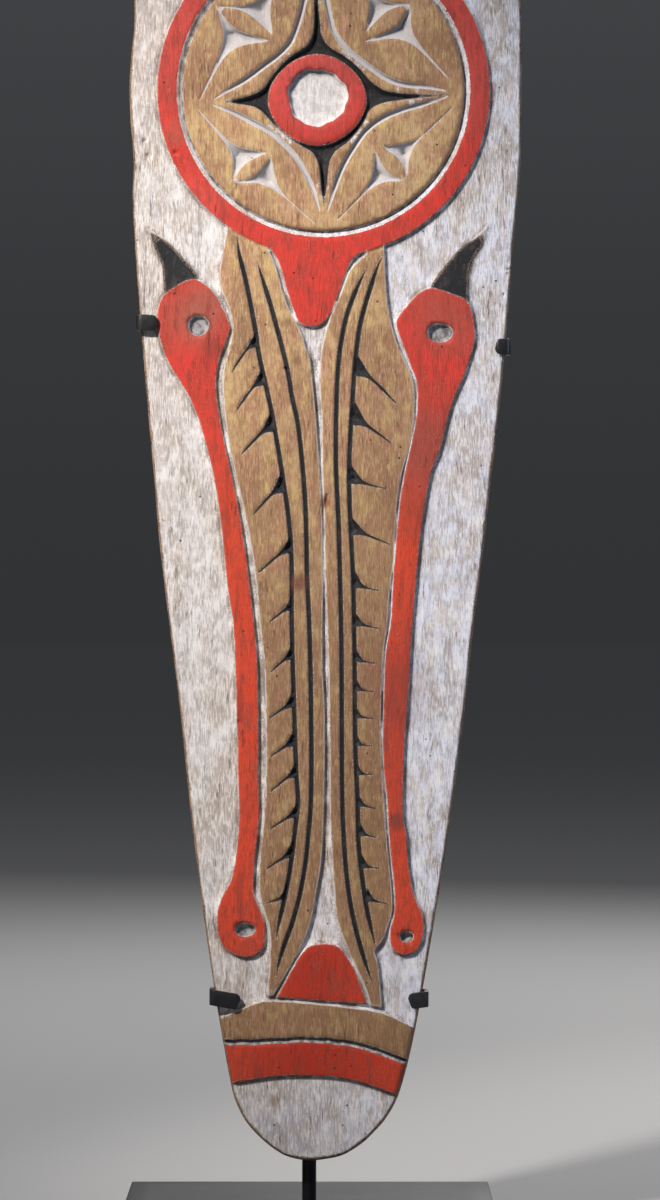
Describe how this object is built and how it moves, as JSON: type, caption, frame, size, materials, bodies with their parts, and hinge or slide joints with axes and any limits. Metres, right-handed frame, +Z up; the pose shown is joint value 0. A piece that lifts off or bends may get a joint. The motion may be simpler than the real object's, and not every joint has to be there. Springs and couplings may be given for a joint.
{
  "type": "ceremonial shield on a stand",
  "caption": "Long carved and painted wooden shield with a back grip, held upright by steel cradles on a post and flat base.",
  "frame": {"origin": "centre of the base's underside, on the surface that the stand rests on", "axes": "+Z up, along the post and the shield's length; the shield's carved front faces -Y; +X to the right as seen from the front"},
  "size_m": [0.2793, 0.2, 1.556],
  "materials": {
    "board": "carved wood in worn chalky white, vermilion, ochre and black paint",
    "stand": "black painted steel, satin"
  },
  "bodies": {
    "root": {"shield_board": "board", "stand_base": "stand", "stand_post": "stand", "upper_cradle": "stand", "lower_cradle": "stand"}
  },
  "joints": []
}
